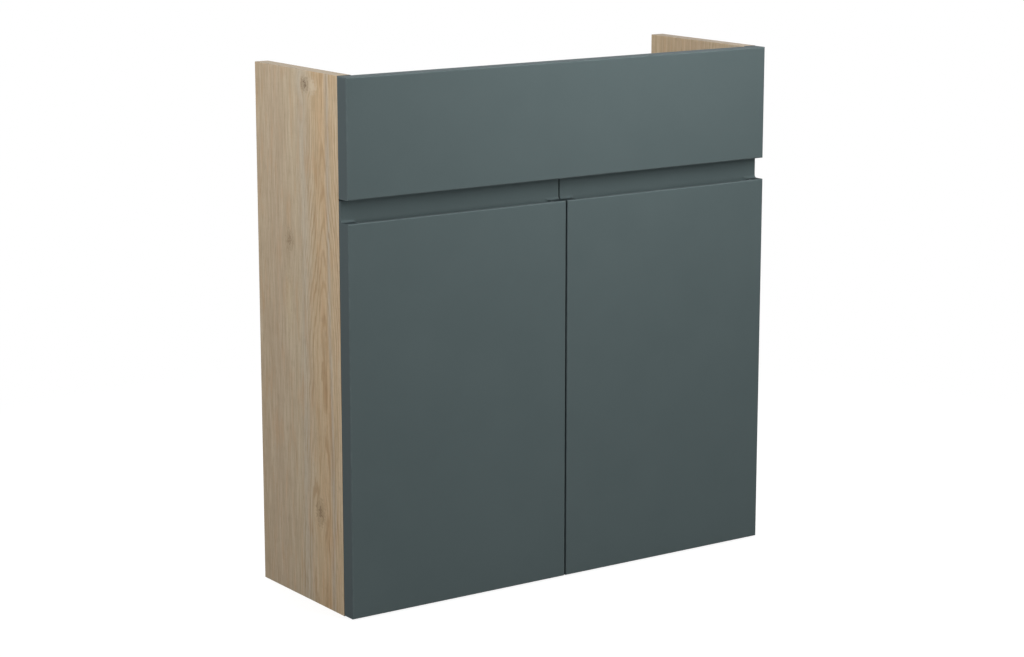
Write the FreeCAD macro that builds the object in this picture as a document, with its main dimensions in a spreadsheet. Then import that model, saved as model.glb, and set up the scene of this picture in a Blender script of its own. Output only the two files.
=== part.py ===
import FreeCAD, Part
import os
import re

# Slim vanity unit: an open-topped oak-effect carcass that hangs on a wall and takes a
# slim basin, with a fixed fascia and two doors that are pulled by a finger groove.
# Frame: millimetres, +Z up, the front faces -Y, origin under the middle of the unit.

os.makedirs("parts", exist_ok=True)
Vector = FreeCAD.Vector
Rotation = FreeCAD.Rotation
doc = FreeCAD.newDocument("slim_vanity_unit")

# Driving dimensions
SIZES = [
    ("unit_width", 600, "across the outer faces of the side panels"),
    ("unit_height", 624, "side panel height"),
    ("carcass_depth", 185.3, "side panel, front edge to wall"),
    ("board_thickness", 18, "faced chipboard of the carcass"),
    ("board_arris", 0.6, "rounding of the edged board's visible edges"),
    ("front_thickness", 19, "fascia and doors"),
    ("front_arris", 1.5, "rounding of the front edges of fascia and doors"),
    ("door_gap", 0.7, "closed door to carcass"),
    ("centre_gap", 2, "between the two doors"),
    ("door_rise", 1, "door bottom above the carcass bottom"),
    ("fascia_drop", 0.5, "fascia top below the side panel tops"),
    ("fascia_height", 137, "fixed front at the top"),
    ("pull_gap", 26.3, "fascia bottom to the door's lip"),
    ("leaf_thickness", 3, "thin part of the door behind the pull gap"),
    ("leaf_clearance", 2.5, "leaf top to fascia bottom"),
    ("lip_thickness", 5, "wall in front of the finger groove"),
    ("groove_depth", 14, "finger groove below the lip"),
    ("groove_end", 15, "solid block at each end of the groove"),
    ("groove_round", 4, "rounding of the groove's floor"),
    ("ledge_cove", 3.5, "hollow rounding between end block and leaf"),
    ("front_rail_height", 120, "board behind the fascia"),
    ("front_rail_lap", 20, "front rail below the fascia's bottom"),
    ("hanging_rail_height", 100, "upper rail at the wall"),
    ("hanging_rail_drop", 54, "hanging rail top below the side panel tops"),
    ("lower_rail_height", 80, "rail at the wall on the bottom panel"),
    ("wall_hole_radius", 3, "wall screw holes in both rails"),
    ("wall_hole_spacing", 400, "between the wall screw holes of a rail"),
    ("shelf_thickness", 18, "loose shelf"),
    ("shelf_depth", 138, "front to back"),
    ("shelf_setback", 26, "shelf front behind the carcass front"),
    ("shelf_side_gap", 1, "shelf end to side panel"),
    ("shelf_height", 240, "underside of the shelf above the carcass bottom"),
    ("row_pitch", 32, "between holes of a row in the side panel"),
    ("front_row_setback", 37, "front row of holes behind the carcass front"),
    ("rear_row_spacing", 96, "front row to rear row"),
    ("row_hole_radius", 2.5, "holes of the rows"),
    ("row_hole_depth", 12, "holes of the rows"),
    ("peg_width", 6, "shelf support, front to back"),
    ("peg_height", 5, "shelf support, top to bottom"),
    ("peg_reach", 9, "shelf support, out of the side panel"),
    ("peg_grip", 10, "shelf support, into the side panel"),
    ("fit_clearance", 0.05, "round of a pin, dowel or screw in its hole"),
    ("dowel_radius", 4, "carcass dowels"),
    ("dowel_in_side", 11, "dowel length in a side panel"),
    ("dowel_in_board", 20, "dowel length in a cross board"),
    ("dowel_inset", 30, "dowel from the board's edge"),
    ("lower_hinge_height", 100, "lower hinge centre"),
    ("upper_hinge_height", 380, "upper hinge centre"),
    ("cup_radius", 17.5, "hinge cup"),
    ("cup_depth", 11.5, "hinge cup into the door"),
    ("cup_wall", 0.8, "hinge cup wall"),
    ("cup_edge", 3, "hinge cup from the door's edge"),
    ("cup_clearance", 0.1, "round of the cup in its bore"),
    ("wing_thickness", 1.2, "plate of the cup on the door's back"),
    ("wing_width", 16, "plate of the cup, across"),
    ("wing_length", 58, "plate of the cup, up and down"),
    ("wing_screw_spacing", 45, "between the screws of a cup"),
    ("cup_pin_inset", 6.5, "pin in the cup from the door's edge"),
    ("cup_pin_depth", 3.3, "pin in the cup below the door's back"),
    ("cup_pin_radius", 1, "pin in the cup"),
    ("ear_radius", 1.9, "ear in the cup that holds its pin, half its width"),
    ("ear_thickness", 2.6, "ear in the cup, along the pin"),
    ("arm_pin_inset", 30, "pin in the arm from the unit's outer face"),
    ("arm_pin_setback", 1, "pin in the arm behind the carcass front"),
    ("arm_pin_radius", 1.25, "pin in the arm"),
    ("link_width", 7, "hinge link along its pins"),
    ("link_thickness", 2.2, "hinge link bar"),
    ("link_cup_boss", 1.9, "link eye in the cup, radius"),
    ("link_arm_boss", 2.8, "link eye in the arm, radius"),
    ("link_bend_reach", 4.6, "bend of the link from the cup pin, along the door"),
    ("link_bend_depth", 2.3, "bend of the link from the cup pin, into the cup"),
    ("channel_gap", 0.4, "link to arm cheek"),
    ("cheek_thickness", 1.5, "arm cheeks and web"),
    ("arm_start", 8, "arm's straight part behind the carcass front"),
    ("arm_length", 54, "arm's straight part"),
    ("arm_height", 8, "arm off its plate"),
    ("nose_radius", 3, "round nose of the arm"),
    ("plate_thickness", 2, "mounting plate wings"),
    ("plate_depth", 22, "mounting plate wings, front to back"),
    ("plate_length", 48, "mounting plate wings, up and down"),
    ("saddle_height", 2, "mounting plate's middle rib on its wings"),
    ("saddle_start", 17, "mounting plate's middle rib behind the carcass front"),
    ("saddle_length", 44, "mounting plate's middle rib"),
    ("saddle_width", 12, "mounting plate's middle rib, up and down"),
    ("fixing_screw_setback", 54, "screw that holds the arm, behind the carcass front"),
    ("adjusting_screw_setback", 24, "screw that adjusts the arm, behind the carcass front"),
    ("screw_radius", 2, "fixing screw shank"),
    ("screw_head_radius", 3.4, "fixing screw head"),
    ("screw_head_height", 1.8, "fixing screw head"),
    ("screw_socket_radius", 1.6, "six-sided socket in the head, to its corners"),
    ("screw_socket_depth", 1.2, "six-sided socket in the head"),
    ("arm_screw_length", 5, "arm screw shank"),
    ("cup_screw_length", 11, "cup screw shank"),
    ("plate_screw_length", 11, "plate screw shank"),
    ("fascia_screw_length", 30, "fascia screw shank"),
    ("fascia_screw_spacing", 440, "between fascia screws, across"),
    ("fascia_screw_rise", 60, "between fascia screws, up and down"),
    ("fascia_screw_start", 35, "lower fascia screws above the front rail's bottom"),
    ("bumper_radius", 4, "buffer on the door's back"),
    ("bumper_thickness", 0.5, "buffer on the door's back"),
    ("bumper_inset", 12, "buffer from the door's free edge"),
]

sheet = doc.addObject("Spreadsheet::Sheet", "Sizes")
for row, (alias, number, note) in enumerate(SIZES, start=1):
    sheet.set(f"A{row}", note)
    sheet.set(f"B{row}", str(number))
    sheet.setAlias(f"B{row}", alias)
doc.recompute()
ALIASES = {alias for alias, number, note in SIZES}

# Places that several pieces share, written in the sheet's aliases
TOTAL_DEPTH = "(carcass_depth + door_gap + front_thickness)"
FRONT = f"(-{TOTAL_DEPTH} / 2)"
CARCASS_FRONT = f"({FRONT} + front_thickness + door_gap)"
LEFT = "(-unit_width / 2)"
INNER_WIDTH = "(unit_width - 2 * board_thickness)"
FASCIA_BOTTOM = "(unit_height - fascia_drop - fascia_height)"
FRONT_RAIL_BOTTOM = f"({FASCIA_BOTTOM} - front_rail_lap)"
HANGING_RAIL_BOTTOM = "(unit_height - hanging_rail_drop - hanging_rail_height)"
DOOR_WIDTH = "(unit_width / 2 - centre_gap / 2)"
LIP_HEIGHT = f"({FASCIA_BOTTOM} - pull_gap - door_rise)"
LEAF_HEIGHT = f"({FASCIA_BOTTOM} - leaf_clearance - door_rise)"
LEAF_FRONT = "(front_thickness - leaf_thickness)"
GROOVE_RADIUS = f"(({LEAF_FRONT} - lip_thickness) / 2)"
CUP_CENTRE = "(cup_edge + cup_radius)"
CUP_PIN_Y = "(-door_gap - cup_pin_depth)"
CHANNEL = "(link_width + 2 * channel_gap)"
CUP_PIN_HALF = f"({CHANNEL} / 2 + ear_thickness)"
ARM_WIDTH = f"({CHANNEL} + 2 * cheek_thickness)"
ARM_BASE = "(board_thickness + plate_thickness + saddle_height)"
WING_X = f"({CUP_CENTRE} + cup_radius - wing_width / 2)"
HINGE_HEIGHTS = {"lower": "lower_hinge_height", "upper": "upper_hinge_height"}

# Turns that point a cylinder's axis along a direction of the frame
AXIS = {
    "+x": Rotation(Vector(0, 1, 0), 90),
    "-x": Rotation(Vector(0, 1, 0), -90),
    "+y": Rotation(Vector(1, 0, 0), -90),
    "-y": Rotation(Vector(1, 0, 0), 90),
    "+z": Rotation(),
}


def in_sheet(text):
    """Put the sheet's name before every alias in an expression."""
    return re.sub(r"[a-z_]+", lambda m: f"Sizes.{m[0]}" if m[0] in ALIASES else m[0], str(text))


def bind(thing, **sizes):
    """Bind properties of an object to expressions in the sheet's aliases."""
    for prop, text in sizes.items():
        thing.setExpression(prop, in_sheet(text))
    return thing


def place(thing, at, axis="+z"):
    """Bind an object's place to three expressions and point its axis."""
    thing.Placement = FreeCAD.Placement(Vector(), AXIS[axis])
    for prop, text in zip(("x", "y", "z"), at):
        thing.setExpression(f"Placement.Base.{prop}", in_sheet(text))
    return thing


def new_body(label, at):
    body = doc.addObject("PartDesign::Body", label)
    return place(body, at)


def box(body, kind, name, size, at):
    """Add or take away a block; kind is Additive or Subtractive."""
    block = body.newObject(f"PartDesign::{kind}Box", name)
    bind(block, Length=size[0], Width=size[1], Height=size[2])
    return place(block, at)


def rod(body, kind, name, radius, length, at, axis):
    """Add or take away a round; kind is Additive or Subtractive."""
    round_piece = body.newObject(f"PartDesign::{kind}Cylinder", name)
    bind(round_piece, Radius=radius, Height=length)
    return place(round_piece, at, axis)


def same(first, second):
    return abs(first - second) < 0.05


def round_edges(body, name, radius, wanted):
    """Round the edges of a body whose middle point passes the test, given the body's bounds."""
    doc.recompute()
    base = body.Tip
    bounds = base.Shape.BoundBox
    chosen = []
    for number, edge in enumerate(base.Shape.Edges, start=1):
        middle = edge.valueAt((edge.FirstParameter + edge.LastParameter) / 2)
        if wanted(middle, bounds):
            chosen.append(f"Edge{number}")
    fillet = body.newObject("PartDesign::Fillet", name)
    fillet.Base = (base, chosen)
    bind(fillet, Radius=radius)
    body.Tip = fillet
    return fillet


def cylinder(name, radius, length, at, axis):
    return place(bind(doc.addObject("Part::Cylinder", name), Radius=radius, Height=length), at, axis)


def group(label, solids):
    """One node that holds several separate solids."""
    compound = doc.addObject("Part::Compound", label)
    compound.Links = solids
    return compound


def screw(name, seat, axis, length):
    """Flat-headed screw: shank from its seat along the axis, head behind it, six-sided socket."""
    back = {"+": "-", "-": "+"}[axis[0]] + axis[1]
    step = {"x": 0, "y": 1, "z": 2}[axis[1]]
    top = list(seat)
    top[step] = f"({seat[step]}) {back[0]} (screw_head_height)"
    head = cylinder(f"{name}_head", "screw_head_radius", "screw_head_height", top, axis)
    shank = cylinder(f"{name}_shank", "screw_radius", length, seat, axis)
    socket = bind(doc.addObject("Part::Prism", f"{name}_socket"),
                  Circumradius="screw_socket_radius", Height="screw_socket_depth")
    place(socket, top, axis)
    whole = doc.addObject("Part::Fuse", f"{name}_whole")
    whole.Base = head
    whole.Tool = shank
    cut = doc.addObject("Part::Cut", name)
    cut.Base = whole
    cut.Tool = socket
    return cut


nodes = []

# Carcass boards
DOWELS = [
    ("bottom_front", "dowel_inset", "board_thickness / 2"),
    ("bottom_rear", "carcass_depth - board_thickness - dowel_inset", "board_thickness / 2"),
    ("front_low", "board_thickness / 2", f"{FRONT_RAIL_BOTTOM} + dowel_inset"),
    ("front_high", "board_thickness / 2", f"{FRONT_RAIL_BOTTOM} + front_rail_height - dowel_inset"),
    ("hanging_low", "carcass_depth - board_thickness / 2", f"{HANGING_RAIL_BOTTOM} + dowel_inset"),
    ("hanging_high", "carcass_depth - board_thickness / 2",
     f"{HANGING_RAIL_BOTTOM} + hanging_rail_height - dowel_inset"),
    ("lower_mid", "carcass_depth - board_thickness / 2", "board_thickness + lower_rail_height / 2"),
]
PEGS = {"front": "front_row_setback", "rear": "front_row_setback + rear_row_spacing"}
PEG_CENTRE = "(shelf_height - peg_height / 2)"


def make_side_panel():
    body = new_body("left_side_panel", (LEFT, CARCASS_FRONT, "0"))
    box(body, "Additive", "side_board", ("board_thickness", "carcass_depth", "unit_height"), ("0", "0", "0"))
    for name, setback, height in DOWELS:
        rod(body, "Subtractive", f"side_{name}", "dowel_radius + fit_clearance", "dowel_in_side + 1",
            ("board_thickness + 1", setback, height), "-x")
    for row, setback in PEGS.items():
        for step in range(-2, 3):
            rod(body, "Subtractive", f"side_{row}_hole", "row_hole_radius", "row_hole_depth + 1",
                ("board_thickness + 1", setback, f"{PEG_CENTRE} + {step} * row_pitch"), "-x")
    for level, height in HINGE_HEIGHTS.items():
        for side in (-1, 1):
            rod(body, "Subtractive", f"side_{level}_plate_hole", "row_hole_radius", "row_hole_depth + 1",
                ("board_thickness + 1", "front_row_setback", f"{height} + {side} * row_pitch / 2"), "-x")
    round_edges(body, "side_arris", "board_arris",
                lambda p, b: same(p.z, b.ZMax) and (same(p.x, b.XMin) or same(p.x, b.XMax))
                or same(p.y, b.YMax) and same(p.x, b.XMin))
    return body


def make_cross_board(label, size, at, joints):
    """Board between the side panels, with dowel holes in both ends."""
    body = new_body(label, at)
    box(body, "Additive", f"{label}_board", size, ("0", "0", "0"))
    for name, setback, height in joints:
        local = (f"{CARCASS_FRONT} + {setback} - ({at[1]})", f"{height} - ({at[2]})")
        rod(body, "Subtractive", f"{label}_{name}_left", "dowel_radius + fit_clearance",
            "dowel_in_board + 1", ("-1", *local), "+x")
        rod(body, "Subtractive", f"{label}_{name}_right", "dowel_radius + fit_clearance",
            "dowel_in_board + 1", (f"{size[0]} + 1", *local), "-x")
    return body


def drill_wall_holes(body, height):
    for side in (-1, 1):
        rod(body, "Subtractive", f"{body.Label}_wall_hole", "wall_hole_radius", "board_thickness + 2",
            (f"{INNER_WIDTH} / 2 + {side} * wall_hole_spacing / 2", "-1", height), "+y")


INNER_LEFT = f"({LEFT} + board_thickness)"
WALL_BOARD = f"({CARCASS_FRONT} + carcass_depth - board_thickness)"
side_panel = make_side_panel()
bottom_panel = make_cross_board("bottom_panel", (INNER_WIDTH, "carcass_depth", "board_thickness"),
                                (INNER_LEFT, CARCASS_FRONT, "0"), DOWELS[0:2])
front_rail = make_cross_board("front_rail", (INNER_WIDTH, "board_thickness", "front_rail_height"),
                              (INNER_LEFT, CARCASS_FRONT, FRONT_RAIL_BOTTOM), DOWELS[2:4])
hanging_rail = make_cross_board("hanging_rail", (INNER_WIDTH, "board_thickness", "hanging_rail_height"),
                                (INNER_LEFT, WALL_BOARD, HANGING_RAIL_BOTTOM), DOWELS[4:6])
lower_rail = make_cross_board("lower_rail", (INNER_WIDTH, "board_thickness", "lower_rail_height"),
                              (INNER_LEFT, WALL_BOARD, "board_thickness"), DOWELS[6:7])
drill_wall_holes(hanging_rail, "hanging_rail_height / 2")
drill_wall_holes(lower_rail, "lower_rail_height / 2")

FASCIA_SCREWS = []
for side in (-1, 1):
    for level in (0, 1):
        FASCIA_SCREWS.append((f"{side} * fascia_screw_spacing / 2",
                              f"{FRONT_RAIL_BOTTOM} + fascia_screw_start + {level} * fascia_screw_rise"))
for across, height in FASCIA_SCREWS:
    rod(front_rail, "Subtractive", "front_rail_screw_hole", "screw_radius + fit_clearance",
        "board_thickness + 2",
        (f"{INNER_WIDTH} / 2 + {across}", "-1", f"{height} - {FRONT_RAIL_BOTTOM}"), "+y")

shelf = new_body("shelf", (f"{INNER_LEFT} + shelf_side_gap", f"{CARCASS_FRONT} + shelf_setback",
                           "shelf_height"))
box(shelf, "Additive", "shelf_board",
    (f"{INNER_WIDTH} - 2 * shelf_side_gap", "shelf_depth", "shelf_thickness"), ("0", "0", "0"))
round_edges(shelf, "shelf_arris", "board_arris",
            lambda p, b: same(p.y, b.YMin) and (same(p.z, b.ZMin) or same(p.z, b.ZMax)))
nodes += [side_panel, bottom_panel, front_rail, hanging_rail, lower_rail, shelf]

left_dowels = group("left_dowels", [
    cylinder(f"dowel_{name}", "dowel_radius", "dowel_in_side + dowel_in_board",
             (f"{INNER_LEFT} - dowel_in_side", f"{CARCASS_FRONT} + {setback}", height), "+x")
    for name, setback, height in DOWELS])


def make_peg(row, setback):
    """Shelf support: a round grip in the side panel and a flat-topped block under the shelf."""
    grip = cylinder(f"{row}_grip", "row_hole_radius - fit_clearance", "peg_grip + 0.5",
                    (f"{INNER_LEFT} - peg_grip", f"{CARCASS_FRONT} + {setback}", PEG_CENTRE), "+x")
    block = bind(doc.addObject("Part::Box", f"{row}_block"),
                 Length="peg_reach", Width="peg_width", Height="peg_height")
    place(block, (INNER_LEFT, f"{CARCASS_FRONT} + {setback} - peg_width / 2", "shelf_height - peg_height"))
    peg = doc.addObject("Part::Fuse", f"{row}_peg")
    peg.Base = grip
    peg.Tool = block
    return peg


left_pegs = group("left_shelf_pegs", [make_peg(row, setback) for row, setback in PEGS.items()])

# Fascia, screwed on from inside through the front rail
fascia = new_body("fascia", (LEFT, f"{CARCASS_FRONT} - front_thickness", FASCIA_BOTTOM))
box(fascia, "Additive", "fascia_board", ("unit_width", "front_thickness", "fascia_height"), ("0", "0", "0"))
FASCIA_SCREW_GRIP = "(fascia_screw_length - board_thickness)"
for across, height in FASCIA_SCREWS:
    rod(fascia, "Subtractive", "fascia_screw_hole", "screw_radius + fit_clearance",
        f"{FASCIA_SCREW_GRIP} + 2",
        (f"unit_width / 2 + {across}", f"front_thickness - {FASCIA_SCREW_GRIP} - 1",
         f"{height} - {FASCIA_BOTTOM}"), "+y")
round_edges(fascia, "fascia_arris", "front_arris", lambda p, b: same(p.y, b.YMin))
fascia_screws = group("fascia_screws", [
    screw(f"fascia_screw_{number}", (across, f"{CARCASS_FRONT} + board_thickness", height), "-y",
          "fascia_screw_length")
    for number, (across, height) in enumerate(FASCIA_SCREWS)])
nodes += [fascia, fascia_screws]


# Doors
def make_door():
    """Slab with a thin leaf above it, a finger groove behind the lip, and bores for two hinge cups."""
    body = new_body("left_door", (LEFT, FRONT, "door_rise"))
    slab = box(body, "Additive", "door_slab", (DOOR_WIDTH, "front_thickness", LIP_HEIGHT),
               ("0", "0", "0"))
    leaf = box(body, "Additive", "door_leaf", (DOOR_WIDTH, "leaf_thickness", LEAF_HEIGHT),
               ("0", LEAF_FRONT, "0"))
    round_edges(body, "door_cove", "ledge_cove",
                lambda p, b: same(p.y, leaf.Placement.Base.y) and same(p.z, slab.Height.Value))
    groove_height = "groove_depth + ledge_cove + 1"
    groove_base = f"{LIP_HEIGHT} - groove_depth"
    groove = box(body, "Subtractive", "door_groove",
                 (f"{DOOR_WIDTH} - 2 * groove_end - 2 * {GROOVE_RADIUS}", f"2 * {GROOVE_RADIUS}",
                  groove_height),
                 (f"groove_end + {GROOVE_RADIUS}", "lip_thickness", groove_base))
    for end, across in (("left", f"groove_end + {GROOVE_RADIUS}"),
                        ("right", f"{DOOR_WIDTH} - groove_end - {GROOVE_RADIUS}")):
        rod(body, "Subtractive", f"door_groove_{end}", GROOVE_RADIUS, groove_height,
            (across, f"lip_thickness + {GROOVE_RADIUS}", groove_base), "+z")
    round_edges(body, "door_groove_floor", "groove_round", lambda p, b: same(p.z, groove.Placement.Base.z))
    for level, height in HINGE_HEIGHTS.items():
        rod(body, "Subtractive", f"door_{level}_bore", "cup_radius + cup_clearance", "cup_depth + 1",
            (CUP_CENTRE, "front_thickness - cup_depth", f"{height} - door_rise"), "+y")
        for side in (-1, 1):
            rod(body, "Subtractive", f"door_{level}_screw_hole", "screw_radius + fit_clearance",
                "cup_screw_length + 1",
                (WING_X, "front_thickness - cup_screw_length",
                 f"{height} - door_rise + {side} * wing_screw_spacing / 2"), "+y")
    round_edges(body, "door_arris", "front_arris", lambda p, b: same(p.y, b.YMin))
    return body


door = make_door()
BUMPERS = {"low": "board_thickness / 2", "high": f"{FRONT_RAIL_BOTTOM} + front_rail_lap / 4"}
left_bumpers = group("left_door_bumpers", [
    cylinder(f"bumper_{name}", "bumper_radius", "bumper_thickness",
             ("-centre_gap / 2 - bumper_inset", f"{CARCASS_FRONT} - door_gap", height), "+y")
    for name, height in BUMPERS.items()])
nodes += [door, left_bumpers, left_dowels, left_pegs]


# Concealed hinges: x from the unit's outer face, y from the carcass front, z from the hinge centre
def make_cup(level, height):
    body = new_body(f"left_{level}_hinge_cup", (LEFT, CARCASS_FRONT, height))
    rod(body, "Additive", "cup_outside", "cup_radius", "cup_depth",
        (CUP_CENTRE, "-door_gap - cup_depth", "0"), "+y")
    box(body, "Additive", "cup_wing", ("wing_width", "wing_thickness", "wing_length"),
        (f"{WING_X} - wing_width / 2", "-door_gap", "-wing_length / 2"))
    rod(body, "Subtractive", "cup_inside", "cup_radius - cup_wall", "cup_depth + wing_thickness + 1",
        (CUP_CENTRE, "-door_gap - cup_depth + cup_wall", "0"), "+y")
    for ear_bottom in (f"{CHANNEL} / 2", f"-{CUP_PIN_HALF}"):
        box(body, "Additive", "cup_ear",
            ("2 * ear_radius", "cup_depth - cup_wall / 2 - cup_pin_depth + ear_radius", "ear_thickness"),
            ("cup_pin_inset - ear_radius", "-door_gap - cup_depth + cup_wall / 2", ear_bottom))
    for side in (-1, 1):
        rod(body, "Subtractive", "cup_screw_hole", "screw_radius + fit_clearance", "wing_thickness + 2",
            (WING_X, "-door_gap - 1", f"{side} * wing_screw_spacing / 2"), "+y")
    rod(body, "Subtractive", "cup_pin_hole", "cup_pin_radius + fit_clearance / 2",
        f"2 * {CUP_PIN_HALF}", ("cup_pin_inset", CUP_PIN_Y, f"-{CUP_PIN_HALF}"), "+z")
    return body


def make_link(level, height):
    """Bent bar with an eye at each end; the bend lets it pass the cup's rim when the door is open."""
    body = new_body(f"left_{level}_hinge_link", (LEFT, CARCASS_FRONT, height))
    bottom = "-link_width / 2"
    bend = ("(cup_pin_inset + link_bend_reach)", f"({CUP_PIN_Y} - link_bend_depth)")
    eyes = [("cup", ("cup_pin_inset", CUP_PIN_Y), "link_cup_boss", "cup_pin_radius"),
            ("arm", ("arm_pin_inset", "arm_pin_setback"), "link_arm_boss", "arm_pin_radius")]
    for name, (x, y), boss, pin in eyes:
        rod(body, "Additive", f"link_{name}_eye", boss, "link_width", (x, y, bottom), "+z")
        run = (f"({bend[0]} - {x})", f"({bend[1]} - {y})")
        reach = f"sqrt({run[0]} ^ 2 + {run[1]} ^ 2)"
        side = (f"{x} + {run[1]} / {reach} * link_thickness / 2",
                f"{y} - {run[0]} / {reach} * link_thickness / 2")
        bar = box(body, "Additive", f"link_{name}_bar", (reach, "link_thickness", "link_width"),
                  (*side, bottom))
        bar.Placement = FreeCAD.Placement(bar.Placement.Base, Rotation(Vector(0, 0, 1), 0))
        bar.setExpression("Placement.Rotation.Angle", in_sheet(f"atan2({run[1]}; {run[0]})"))
    rod(body, "Additive", "link_bend", "link_thickness / 2", "link_width", (*bend, bottom), "+z")
    for name, (x, y), boss, pin in eyes:
        rod(body, "Subtractive", f"link_{name}_hole", f"{pin} + fit_clearance", "link_width + 2",
            (x, y, f"{bottom} - 1"), "+z")
    return body


def make_arm(level, height):
    """Channel on its plate, with a round nose that holds the link's pin between two cheeks."""
    body = new_body(f"left_{level}_hinge_arm", (LEFT, CARCASS_FRONT, height))
    bottom = f"-{ARM_WIDTH} / 2"
    box(body, "Additive", "arm_channel", ("arm_height", "arm_length", ARM_WIDTH),
        (ARM_BASE, "arm_start", bottom))
    box(body, "Additive", "arm_neck",
        ("2 * nose_radius", "arm_start - arm_pin_setback + arm_height", ARM_WIDTH),
        ("arm_pin_inset - nose_radius", "arm_pin_setback", bottom))
    rod(body, "Additive", "arm_nose", "nose_radius", ARM_WIDTH,
        ("arm_pin_inset", "arm_pin_setback", bottom), "+z")
    box(body, "Subtractive", "arm_slot", ("arm_pin_inset", "2 * arm_length + arm_start", CHANNEL),
        (f"{ARM_BASE} + cheek_thickness", "-arm_start", f"-{CHANNEL} / 2"))
    rod(body, "Subtractive", "arm_pin_hole", "arm_pin_radius + fit_clearance / 2", f"{ARM_WIDTH} + 2",
        ("arm_pin_inset", "arm_pin_setback", f"{bottom} - 1"), "+z")
    for name in ("fixing", "adjusting"):
        rod(body, "Subtractive", f"arm_{name}_hole", "screw_radius + fit_clearance", "cheek_thickness + 2",
            (f"{ARM_BASE} - 1", f"{name}_screw_setback", "0"), "+x")
    return body


def make_plate(level, height):
    body = new_body(f"left_{level}_hinge_plate", (LEFT, CARCASS_FRONT, height))
    box(body, "Additive", "plate_wings", ("plate_thickness", "plate_depth", "plate_length"),
        ("board_thickness", "front_row_setback - plate_depth / 2", "-plate_length / 2"))
    box(body, "Additive", "plate_saddle",
        ("plate_thickness + saddle_height", "saddle_length", "saddle_width"),
        ("board_thickness", "saddle_start", "-saddle_width / 2"))
    for side in (-1, 1):
        rod(body, "Subtractive", "plate_hole", "screw_radius + fit_clearance", "plate_thickness + 2",
            ("board_thickness - 1", "front_row_setback", f"{side} * row_pitch / 2"), "+x")
    for name in ("fixing", "adjusting"):
        rod(body, "Subtractive", f"plate_{name}_hole", "screw_radius + fit_clearance",
            "plate_thickness + saddle_height + 2",
            ("board_thickness - 1", f"{name}_screw_setback", "0"), "+x")
    return body


hinge_pins = {"cup": [], "arm": []}
hinge_screws = {"cup": [], "plate": [], "arm": []}
for level, height in HINGE_HEIGHTS.items():
    nodes += [make(level, height) for make in (make_cup, make_link, make_arm, make_plate)]
    hinge_pins["cup"].append(cylinder(
        f"{level}_cup_pin", "cup_pin_radius", f"2 * {CUP_PIN_HALF}",
        (f"{LEFT} + cup_pin_inset", f"{CARCASS_FRONT} + {CUP_PIN_Y}", f"{height} - {CUP_PIN_HALF}"), "+z"))
    hinge_pins["arm"].append(cylinder(
        f"{level}_arm_pin", "arm_pin_radius", ARM_WIDTH,
        (f"{LEFT} + arm_pin_inset", f"{CARCASS_FRONT} + arm_pin_setback",
         f"{height} - {ARM_WIDTH} / 2"), "+z"))
    for side in (-1, 1):
        hinge_screws["cup"].append(screw(
            f"{level}_cup_screw_{side + 1}",
            (f"{LEFT} + {WING_X}", f"{CARCASS_FRONT} - door_gap + wing_thickness",
             f"{height} + {side} * wing_screw_spacing / 2"), "-y", "cup_screw_length"))
        hinge_screws["plate"].append(screw(
            f"{level}_plate_screw_{side + 1}",
            (f"{INNER_LEFT} + plate_thickness", f"{CARCASS_FRONT} + front_row_setback",
             f"{height} + {side} * row_pitch / 2"), "-x", "plate_screw_length"))
    for name in ("fixing", "adjusting"):
        hinge_screws["arm"].append(screw(
            f"{level}_{name}_screw",
            (f"{LEFT} + {ARM_BASE} + cheek_thickness", f"{CARCASS_FRONT} + {name}_screw_setback", height),
            "-x", "arm_screw_length"))
nodes += [group(f"left_{name}_pins", pins) for name, pins in hinge_pins.items()]
nodes += [group(f"left_{name}_screws", screws) for name, screws in hinge_screws.items()]
doc.recompute()

# The right-hand pieces mirror the left-hand ones
for node in list(nodes):
    if node.Label.startswith("left_"):
        twin = doc.addObject("Part::Mirroring", node.Label.replace("left_", "right_", 1))
        twin.Source = node
        twin.Normal = Vector(1, 0, 0)
        nodes.append(twin)
doc.recompute()

for thing in doc.Objects:
    if "Invalid" in thing.State or "Error" in thing.State:
        raise RuntimeError(f"{thing.Label} did not build: {thing.State}")
for node in nodes:
    if node.Shape.isNull() or not node.Shape.isValid():
        raise RuntimeError(f"{node.Label} has no sound shape")
    node.Shape.exportStep(f"parts/{node.Label}.step")
    print(f"{node.Label}: {len(node.Shape.Solids)} solid(s), {node.Shape.Volume / 1000:.2f} cm3")
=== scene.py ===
# %% [markdown]
# # Slim vanity unit
# A shallow bathroom cabinet that hangs on a wall under a slim basin. Two oak-faced side panels
# carry a fixed fascia and two handleless doors in a matt grey-green, and the rest is inside:
# rails, a shelf, pegs, dowels and concealed hinges. Every piece has its shape from the CAD model,
# so this lesson is about finishes, light and the camera. Nothing is moved and no mesh is changed.

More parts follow.
